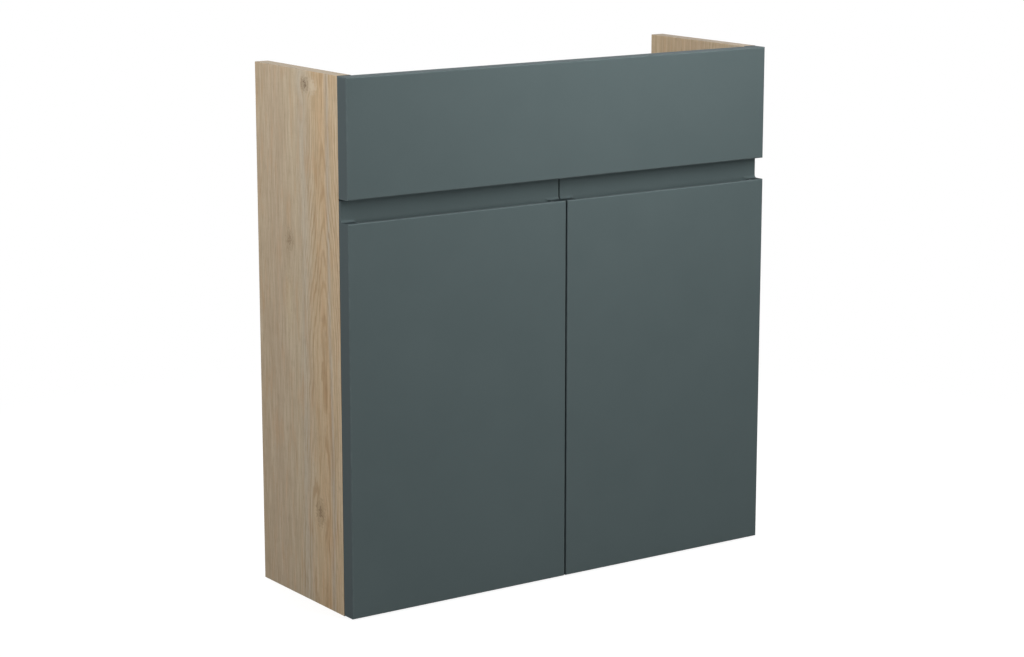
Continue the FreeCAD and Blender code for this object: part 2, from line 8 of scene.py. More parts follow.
# %% Load the pieces
import math
import bmesh
import bpy
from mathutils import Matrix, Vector


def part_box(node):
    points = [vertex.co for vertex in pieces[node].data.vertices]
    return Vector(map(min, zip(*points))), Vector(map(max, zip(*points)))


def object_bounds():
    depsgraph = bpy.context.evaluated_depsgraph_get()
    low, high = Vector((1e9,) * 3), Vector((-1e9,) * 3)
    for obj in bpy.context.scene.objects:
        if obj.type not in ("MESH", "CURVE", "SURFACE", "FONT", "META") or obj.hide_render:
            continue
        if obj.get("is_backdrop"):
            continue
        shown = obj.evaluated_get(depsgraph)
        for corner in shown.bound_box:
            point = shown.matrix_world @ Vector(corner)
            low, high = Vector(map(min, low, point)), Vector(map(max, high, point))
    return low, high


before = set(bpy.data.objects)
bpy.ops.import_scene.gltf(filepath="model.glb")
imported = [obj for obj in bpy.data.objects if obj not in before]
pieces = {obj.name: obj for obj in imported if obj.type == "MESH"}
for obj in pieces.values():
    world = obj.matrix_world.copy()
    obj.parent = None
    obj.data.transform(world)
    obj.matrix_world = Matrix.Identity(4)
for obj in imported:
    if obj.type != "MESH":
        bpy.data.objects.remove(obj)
cad_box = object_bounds()
scene = bpy.context.scene
scene.view_settings.view_transform = "Standard"
MM_PER_M = 1000.0
size_mm = [round(MM_PER_M * side, 1) for side in cad_box[1] - cad_box[0]]
print("pieces:", len(pieces), "size in mm:", size_mm)

# %% [markdown]
# ## The camera
# The photograph was taken from the left and a little above, with a long lens. A camera can be
# placed by eye, but the unit has straight edges of known length, so its place was worked out from
# them. It looks down with no lens shift, so the uprights lean in by about a degree, which the
# photograph's own lens had straightened.

# %% Camera at the photograph's angle
PHOTO_WIDTH_PX = 1024
FOCAL_PX = 2591.6
SENSOR_MM = 36.0
CAMERA_PLACE = (-1.7685, -2.5404, 0.9389)
DOWN_DEG = 11.86
RIGHT_DEG = 34.73
camera = bpy.data.objects.new("camera", bpy.data.cameras.new("camera"))
camera.data.sensor_width = SENSOR_MM
camera.data.lens = SENSOR_MM * FOCAL_PX / PHOTO_WIDTH_PX
camera.location = CAMERA_PLACE
camera.rotation_euler = (math.radians(90 - DOWN_DEG), 0, math.radians(-RIGHT_DEG))
scene.collection.objects.link(camera)
scene.camera = camera
print(f"lens {camera.data.lens:.1f} mm, {camera.location.length:.2f} m from the unit's foot")

# %% [markdown]
# ## Nodes and colours
# A material is a small graph of nodes. One function adds any node, sets its options, and fills
# each input with a value or with a link from another node. Inputs go by name, or by number where
# Blender uses a name twice: a Map Range turns the range from 1 to 2 into the range from 3 to 4,
# and a Mix of colours goes from 6 to 7 as its share, 0, grows. Colours are written as the hex
# values that a paint program shows. Blender reckons in linear light, so one function converts
# them.

# %% Helpers for graphs and colours
def add(tree, kind, inputs=(), out=0, **options):
    """Add a node, set its options, fill its inputs with values or links, and give one output."""
    made = tree.nodes.new("ShaderNode" + kind)
    for option, value in options.items():
        setattr(made, option, value)
    for socket, value in dict(inputs).items():
        if isinstance(value, bpy.types.NodeSocket):
            tree.links.new(value, made.inputs[socket])
        else:
            made.inputs[socket].default_value = value
    return made.outputs[out] if made.outputs else None


def linear(hex_colour):
    """Linear colour with alpha from an sRGB hex value such as #C4B095."""
    channels = [int(hex_colour[at:at + 2], 16) / 255 for at in (1, 3, 5)]
    # the curve of the sRGB standard: a straight line near black, then a power
    return (*[c / 12.92 if c <= 0.04045 else ((c + 0.055) / 1.055) ** 2.4 for c in channels], 1.0)


def empty_graph(owner):
    """Graph of a material or a world, cleared of the nodes that Blender puts there."""
    owner.use_nodes = True
    owner.node_tree.nodes.clear()
    return owner.node_tree


def new_material(name):
    """Material and its empty graph."""
    material = bpy.data.materials.new(name)
    return material, empty_graph(material)


print("a mid oak in linear light:", [round(c, 3) for c in linear("#C4B095")])

# %% [markdown]
# ## Light oak facing
# The carcass is chipboard faced with a melamine film that is printed like oak and pressed with a
# fine grain. Print and grain could come from a picture, but then each board would show the same
# cut. Here they are built from the things that make oak look like oak, each at its size in
# millimetres: broad streaks, growth lines that draw a tall arch in one strip, fine fibres, short
# pores and a few knots that push the grain aside. The print repeats across and along, as a real
# one does, so each board shows another part of it.

# %% Where the print's features lie, in millimetres from the left panel's front edge and foot
PRINT_WIDTH = 340.0
PRINT_LENGTH = 1000.0
MARKS = [
    # across, up, half width, half height, strength, colour, pull on the grain
    (71.0, 608.0, 8.5, 8.0, 0.75, "#6B543D", 0.75),  # a knot with a pale cheek
    (54.0, 607.0, 9.0, 9.0, 0.60, "#DECFB6", 0.0),
    (111.0, 424.0, 8.0, 13.0, 0.60, "#8A7257", 0.75),  # a small eye
    (50.0, 112.0, 9.0, 15.0, 0.70, "#7E664B", 0.75),  # a brown patch
    (115.0, 350.0, 8.0, 45.0, 0.30, "#D9CAA8", 0.0),  # a pale oval
]
STREAKS = [
    # from the front edge, colour
    (0.0, "#D6BE9E"),
    (13.0, "#D6BE9C"),
    (20.0, "#C6BAA8"),
    (27.0, "#D3B691"),
    (55.0, "#D2BA98"),
    (80.0, "#C8BCA8"),
    (94.0, "#CBBA9F"),
    (140.0, "#C5B299"),
    (290.0, "#CAB696"),
]
print("marks:", len(MARKS), "streaks:", len(STREAKS))

# %% Coordinates on a board
HALF_PRINT = (PRINT_WIDTH / 2, PRINT_LENGTH / 2, 1.0)


def board_place(tree, across, along, start):
    """Millimetres across and along the grain, from the weights of x, y and z."""
    place = add(tree, "TexCoord", out="Object")
    axes = [add(tree, "VectorMath", {0: place, 1: [MM_PER_M * w for w in weights]}, 1,
                operation="DOT_PRODUCT") for weights in (across, along)]
    flat = add(tree, "CombineXYZ", {0: axes[0], 1: axes[1]})
    return add(tree, "VectorMath", {0: flat, 1: (*start, 0.0)}, operation="ADD")


def offset_from(tree, place, across, up):
    """Millimetres from a point of the print, by the shortest way round its repeat."""
    offset = add(tree, "VectorMath", {0: place, 1: (across, up, 0.0)}, operation="SUBTRACT")
    return add(tree, "VectorMath", {0: offset, 1: HALF_PRINT, 2: [-half for half in HALF_PRINT]},
               operation="WRAP")


def facing(tree, axis):
    """How far a face looks along an axis of the unit, from -1 to 1."""
    normal = add(tree, "TexCoord", out="Normal")
    return add(tree, "VectorMath", {0: normal, 1: axis}, 1, operation="DOT_PRODUCT")


print("the print repeats every", PRINT_WIDTH, "mm across and", PRINT_LENGTH, "mm along")

# %% Knots and pale spots; a knot pushes the grain aside
NOTCH_MM = 3.333  # size of the notches in a mark's rim
RAGGED = 0.9  # radii by which a mark's rim strays
PULL_REACH = 3.2  # radii out to which a knot bends the grain
MARK_RIM, MARK_FULL = 1.4, 0.2  # radii where a mark begins and where it is strongest
RING_TURN = 8.5  # radians of a knot's rings in one radius
RING_PALE = 0.30  # share of a knot's colour between two rings


def marks_in(tree, place):
    """Place with the grain bent round the knots, and how much of each mark shows."""
    ragged = add(tree, "TexNoise", {"Vector": place, "Scale": 1 / NOTCH_MM, "Detail": 3.0}, "Fac",
                 noise_dimensions="2D")
    ragged = add(tree, "MapRange", {0: ragged, 1: 0.0, 2: 1.0, 3: -RAGGED, 4: RAGGED})
    bent = place
    shares = []
    for across, up, half_width, half_height, strength, tone, pull in MARKS:
        offset = offset_from(tree, place, across, up)
        scaled = add(tree, "VectorMath", {0: offset, 1: (1 / half_width, 1 / half_height, 0.0)},
                     operation="MULTIPLY")
        radii = add(tree, "VectorMath", {0: scaled}, 1, operation="LENGTH")
        if pull:
            draw = add(tree, "MapRange", {0: radii, 1: 0.0, 2: PULL_REACH, 3: pull, 4: 0.0},
                       interpolation_type="SMOOTHERSTEP")
            sideways = add(tree, "VectorMath", {0: offset, 1: (-1.0, 0.0, 0.0)},
                           operation="MULTIPLY")
            bent = add(tree, "VectorMath", {0: sideways, 1: draw, 2: bent},
                       operation="MULTIPLY_ADD")
        radii = add(tree, "Math", {0: radii, 1: ragged}, operation="ADD")
        share = add(tree, "MapRange", {0: radii, 1: MARK_RIM, 2: MARK_FULL, 3: 0.0, 4: strength},
                    interpolation_type="SMOOTHSTEP")
        if pull:
            # a knot is a branch cut across, so it has a dark heart and a dark rim of bark
            rings = add(tree, "Math", {0: radii, 1: RING_TURN}, operation="MULTIPLY")
            rings = add(tree, "Math", {0: rings}, operation="SINE")
            rings = add(tree, "MapRange", {0: rings, 1: -1.0, 2: 1.0, 3: RING_PALE, 4: 1.0})
            share = add(tree, "Math", {0: share, 1: rings}, operation="MULTIPLY")
        shares.append((share, tone))
    return bent, shares


print("knots:", sum(1 for mark in MARKS if mark[-1]))

# %% Soft streaks of noise along the grain
GRAIN = {
    # millimetres across the grain and along it, detail of the noise
    "drift": (45, 260, 3.0),
    "cloud": (7, 120, 2.0),
    "flame": (9, 55, 3.0),
    # oak's own fibres are 0.3 mm apart; these are coarser, so that they show from a step away
    "fibre": (1.3, 48, 4.0),
    "pore": (0.9, 16, 1.0),
    # the saw leaves faint marks across the grain
    "saw": (24, 3.0, 3.0),
    # growth lines waver slowly, tremble quickly and break off here and there
    "waver": (22, 130, 2.0),
    "tremble": (5, 24, 2.0),
    "break": (12, 60, 2.0),
}


def streak_noise(tree, bent, kind, low=0.0, high=1.0):
    """Noise of one kind of grain, spread between low and high."""
    wide, long, detail = GRAIN[kind]
    place = add(tree, "VectorMath", {0: bent, 1: (1 / wide, 1 / long, 0.0)}, operation="MULTIPLY")
    noise = add(tree, "TexNoise", {"Vector": place, "Scale": 1.0, "Detail": detail}, "Fac",
                noise_dimensions="2D")
    return add(tree, "MapRange", {0: noise, 1: 0.0, 2: 1.0, 3: low, 4: high})


print("grain in mm:", {kind: size[:2] for kind, size in GRAIN.items()})

# %% Growth lines, drawn as the tall arches of a flat-sawn board; all in millimetres
ARCH_CENTRE = 35.0
ARCH_HEIGHT = 450.0
LINE_SPACING = 5.2
HEART_DEPTH = 9.0
LEAN_FROM, LEAN_TO, LEAN = 4.0, 34.0, 0.055  # the last is a slope
TAPER_FROM, TAPER_TO, TAPER = -150.0, 110.0, 14.0
WAVER = 4.5
TREMBLE = 1.5
STRIP_EDGE, STRIP_END, FAINT = 22.0, 50.0, 0.16  # the last is the lines' strength beside the strip


def growth_lines(tree, bent):
    """Dark lines from 0 to 1, strong in the arched strip and faint elsewhere."""
    offset = offset_from(tree, bent, ARCH_CENTRE, ARCH_HEIGHT)
    aside = add(tree, "SeparateXYZ", {0: offset}, "X")
    above = add(tree, "SeparateXYZ", {0: offset}, "Y")
    # behind the arch the lines lean back towards the foot
    lean = add(tree, "MapRange", {0: aside, 1: LEAN_FROM, 2: LEAN_TO, 3: 0.0, 4: LEAN},
               interpolation_type="SMOOTHSTEP")
    leaning = add(tree, "Math", {0: lean, 1: above, 2: aside}, operation="MULTIPLY_ADD")
    # the distance to a log's heart that lies a little under the face gives rounded arches
    heart = add(tree, "CombineXYZ", {0: leaning, 1: HEART_DEPTH})
    ring = add(tree, "VectorMath", {0: heart}, 1, operation="LENGTH")
    taper = add(tree, "MapRange", {0: above, 1: TAPER_FROM, 2: TAPER_TO, 3: -TAPER, 4: TAPER},
                interpolation_type="SMOOTHSTEP")
    for shift in (taper, streak_noise(tree, bent, "waver", -WAVER, WAVER),
                  streak_noise(tree, bent, "tremble", -TREMBLE, TREMBLE)):
        ring = add(tree, "Math", {0: ring, 1: shift}, operation="ADD")
    wave = add(tree, "Math", {0: ring, 1: 2 * math.pi / LINE_SPACING}, operation="MULTIPLY")
    wave = add(tree, "Math", {0: wave}, operation="SINE")
    line = add(tree, "MapRange", {0: wave, 1: 0.0, 2: 1.0, 3: 0.0, 4: 1.0},
               interpolation_type="SMOOTHSTEP")
    beside = add(tree, "Math", {0: leaning}, operation="ABSOLUTE")
    strip = add(tree, "MapRange", {0: beside, 1: STRIP_EDGE, 2: STRIP_END, 3: 1.0, 4: FAINT},
                interpolation_type="SMOOTHSTEP")
    line = add(tree, "Math", {0: line, 1: strip}, operation="MULTIPLY")
    broken = streak_noise(tree, bent, "break", -0.5, 2.1)
    return add(tree, "Math", {0: line, 1: broken}, operation="MULTIPLY", use_clamp=True)


print("growth lines every", LINE_SPACING, "mm, arched", ARCH_HEIGHT, "mm above the foot")

# %% Broad streaks of colour
DRIFT = 10.0  # millimetres by which the streaks wander


def streak_colour(tree, bent):
    """Colour of the broad streaks, which wander a little as they run up the board."""
    across = add(tree, "SeparateXYZ", {0: bent}, "X")
    drift = streak_noise(tree, bent, "drift", -DRIFT, DRIFT)
    across = add(tree, "Math", {0: across, 1: drift}, operation="ADD")
    across = add(tree, "Math", {0: across, 1: PRINT_WIDTH, 2: 0.0}, operation="WRAP")
    across = add(tree, "Math", {0: across, 1: PRINT_WIDTH}, operation="DIVIDE")
    colour = add(tree, "ValToRGB", {0: across})
    ramp = colour.node.color_ramp
    for stop in ramp.elements:
        stop.color = linear(STREAKS[0][1])
    for at, tone in STREAKS[1:]:
        ramp.elements.new(at / PRINT_WIDTH).color = linear(tone)
    return colour


print("streaks wander by", DRIFT, "mm")

# %% The printed facing as a whole
LINE_STRENGTH = 0.43
PORE_STRENGTH = 0.32


def oak_print(tree, place):
    """Colour of the print, and its grain as a height from 0 to 1."""
    bent, marks = marks_in(tree, place)
    colour = streak_colour(tree, bent)
    cloud, flame, fibre, saw = [streak_noise(tree, bent, kind)
                                for kind in ("cloud", "flame", "fibre", "saw")]
    pores = add(tree, "MapRange", {0: streak_noise(tree, bent, "pore"), 1: 0.62, 2: 0.74,
                                   3: 0.0, 4: 1.0})
    lines = growth_lines(tree, bent)
    # each layer shows from its input 1 on, and at its input 2 it is as strong as its input 4 says
    layers = [
        (add(tree, "MapRange", {0: cloud, 1: 0.42, 2: 0.75, 3: 0.0, 4: 0.34}), "#B09C82"),
        (add(tree, "MapRange", {0: cloud, 1: 0.50, 2: 0.22, 3: 0.0, 4: 0.32}), "#DCCDB4"),
        (add(tree, "MapRange", {0: flame, 1: 0.52, 2: 0.75, 3: 0.0, 4: 0.30}), "#C99E74"),
        (add(tree, "MapRange", {0: fibre, 1: 0.48, 2: 0.80, 3: 0.0, 4: 0.42}), "#A08A6E"),
        (add(tree, "MapRange", {0: fibre, 1: 0.50, 2: 0.24, 3: 0.0, 4: 0.38}), "#DFD0B7"),
        (add(tree, "Math", {0: lines, 1: LINE_STRENGTH}, operation="MULTIPLY"), "#A5815B"),
        (add(tree, "Math", {0: pores, 1: PORE_STRENGTH}, operation="MULTIPLY"), "#8B765D"),
        (add(tree, "MapRange", {0: saw, 1: 0.52, 2: 0.78, 3: 0.0, 4: 0.08}), "#A5917A"),
        *marks,
    ]
    for share, tone in layers:
        colour = add(tree, "Mix", {0: share, 6: colour, 7: linear(tone)}, 2, data_type="RGBA")
    grain = add(tree, "Math", {0: fibre, 1: pores}, operation="SUBTRACT")
    return colour, grain


print("growth lines at", LINE_STRENGTH, "and pores at", PORE_STRENGTH, "of their full strength")

# %% [markdown]
# ## Raw chipboard
# The edges that face the wall are left bare, so the core shows there: pressed chips, coarse in
# the middle of the board. Noise would give soft clouds, but chips are small flat flakes of mixed
# tones with clear borders, and a texture of cells has both. The flakes are drawn two to three
# millimetres across, and the glue and gaps between them darken the cell borders.

# %% Chips of the core
CHIP_MM = (2.2, 2.2, 3.4)
GLUE_WIDTH = 0.12  # share of a chip
GLUE_STRENGTH = 0.45


def chips(tree):
    """Colour and height of bare chipboard."""
    place = add(tree, "TexCoord", out="Object")
    place = add(tree, "VectorMath", {0: place, "Scale": MM_PER_M}, operation="SCALE")
    stretched = add(tree, "VectorMath", {0: place, 1: [1 / side for side in CHIP_MM]},
                    operation="MULTIPLY")
    shade = add(tree, "TexVoronoi", {"Vector": stretched, "Scale": 1.0}, "Color")
    shade = add(tree, "SeparateXYZ", {0: shade}, "X")
    border = add(tree, "TexVoronoi", {"Vector": stretched, "Scale": 1.0}, "Distance",
                 feature="DISTANCE_TO_EDGE")
    border = add(tree, "MapRange", {0: border, 1: 0.0, 2: GLUE_WIDTH, 3: 1.0, 4: 0.0})
    pale = add(tree, "Mix", {0: shade, 6: linear("#BFA27A"), 7: linear("#DCC7A2")}, 2,
               data_type="RGBA")
    dark = add(tree, "Math", {0: border, 1: GLUE_STRENGTH}, operation="MULTIPLY")
    colour = add(tree, "Mix", {0: dark, 6: pale, 7: linear("#84694A")}, 2, data_type="RGBA")
    return colour, shade


print("chips in mm:", CHIP_MM)

# %% A faced board
SQUARE_ON = 0.7  # above this, a face counts as looking along an axis
# share of painted shade, darker and greyer, on the side panels' top edge
TOP_EDGE_SHADE_SHARE = 0.38
PORE_ROUGH, FIBRE_ROUGH, CORE_ROUGH = 0.66, 0.54, 0.85
# melamine is a hard plastic film, pressed against a plate with grain about 0.06 mm deep, and a matt
# film sends back little of the light in one direction
MATT_FILM = {"IOR": 1.5, "Specular IOR Level": 0.07}
FINE_RELIEF = {"Strength": 0.35, "Distance": 0.00006}


def faced_board(name, across, along, start, bare_axis, end_strip=None):
    """Oak facing on a board, bare chips on the faces that look along bare_axis.

    A side panel also has end_strip, the place of the print on its top edge, a painted shade on
    that edge and a dark band of painted shade in front."""
    material, tree = new_material(name)
    place = board_place(tree, across, along, start)
    if end_strip:
        strip_place = board_place(tree, *end_strip)
        upward = add(tree, "Math", {0: facing(tree, (0.0, 0.0, 1.0))}, operation="ABSOLUTE")
        upward = add(tree, "Math", {0: upward, 1: SQUARE_ON}, operation="GREATER_THAN")
        place = add(tree, "Mix", {0: upward, 4: place, 5: strip_place}, 1, data_type="VECTOR")
    oak, grain = oak_print(tree, place)
    core, flake = chips(tree)
    bare = add(tree, "Math", {0: facing(tree, bare_axis), 1: SQUARE_ON}, operation="GREATER_THAN")
    colour = add(tree, "Mix", {0: bare, 6: oak, 7: core}, 2, data_type="RGBA")
    if end_strip:
        # the top edge is painted a tone darker and greyer, and the front edge dark grey-green so
        # that it reads as the shadow in the gaps beside the fronts: both are painted shade
        strip = add(tree, "Math", {0: upward, 1: TOP_EDGE_SHADE_SHARE}, operation="MULTIPLY")
        colour = add(tree, "Mix", {0: strip, 6: colour, 7: linear("#7D7F83")}, 2, data_type="RGBA")
        # the front edge is painted dark grey-green: painted shade in the gaps beside the fronts
        front = add(tree, "Math", {0: facing(tree, (0.0, -1.0, 0.0)), 1: SQUARE_ON},
                    operation="GREATER_THAN")
        colour = add(tree, "Mix", {0: front, 6: colour, 7: linear("#4B5456")}, 2, data_type="RGBA")
    height = add(tree, "Mix", {0: bare, 2: grain, 3: flake})
    gloss = add(tree, "MapRange", {0: grain, 1: 0.2, 2: 0.8, 3: PORE_ROUGH, 4: FIBRE_ROUGH})
    gloss = add(tree, "Mix", {0: bare, 2: gloss, 3: CORE_ROUGH})
    bump = add(tree, "Bump", {"Height": height, **FINE_RELIEF})
    shader = add(tree, "BsdfPrincipled", {"Base Color": colour, "Roughness": gloss, "Normal": bump,
                                          **MATT_FILM})
    add(tree, "OutputMaterial", {"Surface": shader})
    return material


# each board has the weights of x, y and z across the grain and along it, then its start on the
# print in millimetres; x counts on the side panels too, so that each shows a part of its own
SIDE_TOP = ((1.0, 0.0, 0.0), (0.0, 1.0, 0.0), (560.0, 260.0))
oak_upright = faced_board("melamine_oak_upright_grain", (0.687, 1.0, 0.0), (0.4, 0.0, 1.0),
                          (288.9, 120.0), (0.0, 1.0, 0.0), SIDE_TOP)
oak_flat = faced_board("melamine_oak_lengthwise_flat", (0.0, 1.0, 1.0), (1.0, 0.0, 0.3),
                       (230.0, 330.0), (0.0, 1.0, 0.0))
oak_rail = faced_board("melamine_oak_lengthwise_rail", (0.0, 1.0, 1.0), (1.0, 0.2, 0.0),
                       (30.0, 330.0), (0.0, 0.0, -1.0))
print("oak nodes:", len(oak_upright.node_tree.nodes))

# %% [markdown]
# ## Matt grey-green fronts
# Fascia and doors are fibreboard, sprayed with a matt lacquer and cured. To the eye it is almost
# flat colour: a very fine texture from the spray, a soft sheen and slightly thinner, paler
# lacquer on the rounded arrises where hands and cloths pass. The wear could be painted on the
# mesh, but a flat front has too few points for that, so it is measured from the piece's own box.
# The grain of the spray is about 0.3 mm, drawn at 0.8 mm so that it shows at all.

# %% Distances to a front's arrises, in metres and below zero inside the piece's box
PULL_GAP = 0.0263  # from the fascia down to the doors' lip


def past_edges(tree, place, low, high):
    """How far a place is past the piece's box, along x, y and z."""
    from_centre = add(tree, "VectorMath", {0: place, 1: (low + high) / 2}, operation="SUBTRACT")
    from_centre = add(tree, "VectorMath", {0: from_centre}, operation="ABSOLUTE")
    past_edge = add(tree, "VectorMath", {0: from_centre, 1: (high - low) / 2}, operation="SUBTRACT")
    return [add(tree, "SeparateXYZ", {0: past_edge}, axis) for axis in "XYZ"]


def box_arris(tree, sides):
    """How far a place is past the nearest arris of the box.

    Near an arris two of the three distances are small, so the middle one of the three tells."""
    lesser = add(tree, "Math", {0: sides[0], 1: sides[2]}, operation="MINIMUM")
    greater = add(tree, "Math", {0: sides[0], 1: sides[2]}, operation="MAXIMUM")
    greater = add(tree, "Math", {0: greater, 1: sides[1]}, operation="MINIMUM")
    return add(tree, "Math", {0: lesser, 1: greater}, operation="MAXIMUM")


def from_lip(tree, place, low):
    """How far a place on a door is from its lip's height, and how far behind the door's face."""
    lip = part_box("fascia")[0].z - PULL_GAP
    height = add(tree, "SeparateXYZ", {0: place}, "Z")
    under_lip = add(tree, "Math", {0: height, 1: lip}, operation="SUBTRACT")
    under_lip = add(tree, "Math", {0: under_lip}, operation="ABSOLUTE")
    depth = add(tree, "SeparateXYZ", {0: place}, "Y")
    behind = add(tree, "Math", {0: depth, 1: low.y}, operation="SUBTRACT")
    return under_lip, behind


print("pull gap in mm:", round(MM_PER_M * PULL_GAP, 1))

# %% Painted shade on the end blocks of the finger groove
# length of the painted shade at each end of the groove
GROOVE_END_SHADE_LENGTH = 0.015  # metres


def groove_end_shade_share(tree, sides, under_lip, behind):
    """One on the top of each end block of the finger groove, zero elsewhere: there the tops are
    painted dark as shade.
    """
    limits = [
        # measure, value just outside the plug, value just inside it
        (sides[0], -GROOVE_END_SHADE_LENGTH - 0.0002, -GROOVE_END_SHADE_LENGTH + 0.0004),
        (under_lip, 0.0022, 0.0014),
        (facing(tree, (0.0, 0.0, 1.0)), 0.5, 0.8),
        (behind, 0.0014, 0.0024),
        (behind, 0.0135, 0.0120),
    ]
    groove_end_shade = 1.0
    for measure, outside, inside in limits:
        within = add(tree, "MapRange", {0: measure, 1: outside, 2: inside, 3: 0.0, 4: 1.0})
        groove_end_shade = add(tree, "Math", {0: groove_end_shade, 1: within}, operation="MULTIPLY")
    return groove_end_shade


print("groove_end_shades in mm:", round(MM_PER_M * GROOVE_END_SHADE_LENGTH, 1))

# %% Lacquer for one front
SPRAY_MM = 0.8
WEAR_MM = 14.3
CLOUD_MM = 71.4
WEAR_FROM, WEAR_FULL = -0.0022, -0.0002  # metres past an arris
LACQUER_SMOOTH, LACQUER_ROUGH = 0.60, 0.70


def lacquered_front(node):
    """Matt lacquer with its arrises worn a little, measured from the piece's own box."""
    material, tree = new_material("matt_lacquered_fibreboard_" + node)
    low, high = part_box(node)
    place = add(tree, "TexCoord", out="Object")
    sides = past_edges(tree, place, low, high)
    arris = box_arris(tree, sides)
    if "door" in node:
        # the lip in front of the finger groove has an arris of its own
        under_lip, behind = from_lip(tree, place, low)
        past_lip = add(tree, "Math", {0: under_lip, 1: behind}, operation="MAXIMUM")
        past_lip = add(tree, "Math", {0: past_lip, 1: -1.0}, operation="MULTIPLY")
        arris = add(tree, "Math", {0: arris, 1: past_lip}, operation="MAXIMUM")
    edge = add(tree, "MapRange", {0: arris, 1: WEAR_FROM, 2: WEAR_FULL, 3: 0.0, 4: 1.0})
    patches, cloud, spray = [
        add(tree, "TexNoise", {"Vector": place, "Scale": MM_PER_M / size, "Detail": detail}, "Fac")
        for size, detail in ((WEAR_MM, 3.0), (CLOUD_MM, 2.0), (SPRAY_MM, 2.0))]
    worn = add(tree, "MapRange", {0: patches, 1: 0.35, 2: 0.75, 3: 0.04, 4: 0.30})
    worn = add(tree, "Math", {0: worn, 1: edge}, operation="MULTIPLY")
    cloud = add(tree, "MapRange", {0: cloud, 1: 0.3, 2: 0.7, 3: 0.0, 4: 1.0})
    speck = add(tree, "MapRange", {0: spray, 1: 0.55, 2: 0.80, 3: 0.0, 4: 0.25})
    colour = add(tree, "Mix", {0: cloud, 6: linear("#5C696A"), 7: linear("#5E6B6C")}, 2,
                 data_type="RGBA")
    # faces that look neither forward nor back are painted a tone darker: painted shade
    outward = add(tree, "Math", {0: facing(tree, (0.0, 1.0, 0.0))}, operation="ABSOLUTE")
    outward = add(tree, "MapRange", {0: outward, 1: 0.35, 2: 0.75, 3: 0.0, 4: 1.0})
    colour = add(tree, "Mix", {0: outward, 6: linear("#535D5F"), 7: colour}, 2, data_type="RGBA")
    colour = add(tree, "Mix", {0: speck, 6: colour, 7: linear("#69757A")}, 2, data_type="RGBA")
    colour = add(tree, "Mix", {0: worn, 6: colour, 7: linear("#7C888A")}, 2, data_type="RGBA")
    if "door" in node:
        # the tops of the groove's end blocks are painted dark: painted shade
        groove_end_shade = groove_end_shade_share(tree, sides, under_lip, behind)
        colour = add(tree, "Mix", {0: groove_end_shade, 6: colour, 7: linear("#30393B")}, 2, data_type="RGBA")
    gloss = add(tree, "MapRange", {0: spray, 1: 0.3, 2: 0.7, 3: LACQUER_SMOOTH, 4: LACQUER_ROUGH})
    bump = add(tree, "Bump", {"Height": spray, **FINE_RELIEF})
    shader = add(tree, "BsdfPrincipled", {"Base Color": colour, "Roughness": gloss, "Normal": bump,
                                          **MATT_FILM})
    add(tree, "OutputMaterial", {"Surface": shader})
    return material


fronts = {node: lacquered_front(node) for node in ("fascia", "left_door", "right_door")}
print("fronts:", sorted(fronts))

# %% [markdown]
# ## Metal of the hinges, screws and pegs
# The hinges are pressed from steel strip and nickel plated, which leaves a warm, slightly clouded
# silver with faint rolling lines. Screws and pegs are zinc plated: colder, bluer and a little
# duller. Pins are ground steel. One recipe fits all of them, because only the tone, the roughness
# and the direction of the fine lines differ.

# %% Plated and ground steel
LINE_STRETCH = 25  # the fine lines are this many times as long as they are wide
PLATING_CLOUD_MM = 4.545


def plated_steel(name, pale, dark, smooth, rough, line_mm, run_axis):
    """Metal with clouded plating and fine lines that run along one axis."""
    material, tree = new_material(name)
    place = add(tree, "TexCoord", out="Object")
    place = add(tree, "VectorMath", {0: place, "Scale": MM_PER_M}, operation="SCALE")
    spacing = [1 / (LINE_STRETCH * line_mm) if axis == run_axis else 1 / line_mm for axis in "xyz"]
    lines = add(tree, "VectorMath", {0: place, 1: spacing}, operation="MULTIPLY")
    lines = add(tree, "TexNoise", {"Vector": lines, "Scale": 1.0, "Detail": 3.0}, "Fac")
    cloud = add(tree, "TexNoise", {"Vector": place, "Scale": 1 / PLATING_CLOUD_MM, "Detail": 3.0},
                "Fac")
    share = add(tree, "MapRange", {0: cloud, 1: 0.35, 2: 0.70, 3: 0.0, 4: 1.0})
    colour = add(tree, "Mix", {0: share, 6: linear(pale), 7: linear(dark)}, 2, data_type="RGBA")
    gloss = add(tree, "MapRange", {0: lines, 1: 0.25, 2: 0.75, 3: smooth, 4: rough})
    bump = add(tree, "Bump", {"Strength": 0.15, "Distance": 0.00003, "Height": lines})
    shader = add(tree, "BsdfPrincipled", {"Base Color": colour, "Roughness": gloss, "Normal": bump,
                                          "Metallic": 1.0})
    add(tree, "OutputMaterial", {"Surface": shader})
    return material


nickel = plated_steel("nickel_plated_pressed_steel", "#D3CFC7", "#B9B4AA", 0.24, 0.40, 0.5, "z")
zinc = plated_steel("zinc_plated_steel", "#CBD0D4", "#A9B0B6", 0.30, 0.48, 0.4, "x")
ground = plated_steel("ground_steel_pin", "#C9C8C5", "#AEADA9", 0.22, 0.36, 0.3, "x")
print("metals:", nickel.name, zinc.name, ground.name)

# %% [markdown]
# ## Dowels and buffers
# Dowels are turned from beech, pale pink-brown with short dark flecks along the grain. The
# buffers that the doors close on are soft clear polyurethane, slightly milky. Both are small and
# mostly hidden, so one noise is enough for each: it gives the tone, the gloss and the relief.

